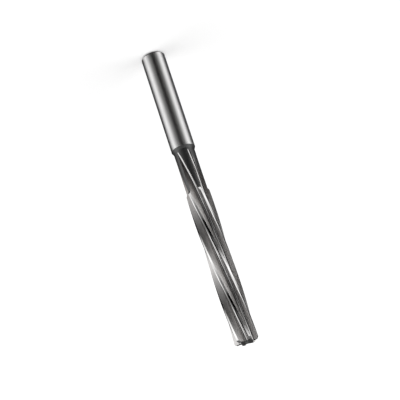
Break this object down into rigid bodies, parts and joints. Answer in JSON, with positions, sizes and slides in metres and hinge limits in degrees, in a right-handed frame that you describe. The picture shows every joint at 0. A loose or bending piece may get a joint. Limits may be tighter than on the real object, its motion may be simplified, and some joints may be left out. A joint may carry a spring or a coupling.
{
  "type": "machine reamer",
  "caption": "Machine reamer in ground steel: plain cylindrical shank, thinner neck and long cutting part with left-hand helical teeth, for sizing drilled holes.",
  "frame": {"origin": "centre of the flat shank end, on the tool's axis", "axes": "+Z runs along the tool's axis from the shank end to the cutting end; one cutting edge ends on +X at the cutting end"},
  "size_m": [0.011, 0.011, 0.142],
  "materials": {
    "ground_steel": "ground"
  },
  "bodies": {
    "root": {"reamer": "ground_steel"}
  },
  "joints": []
}
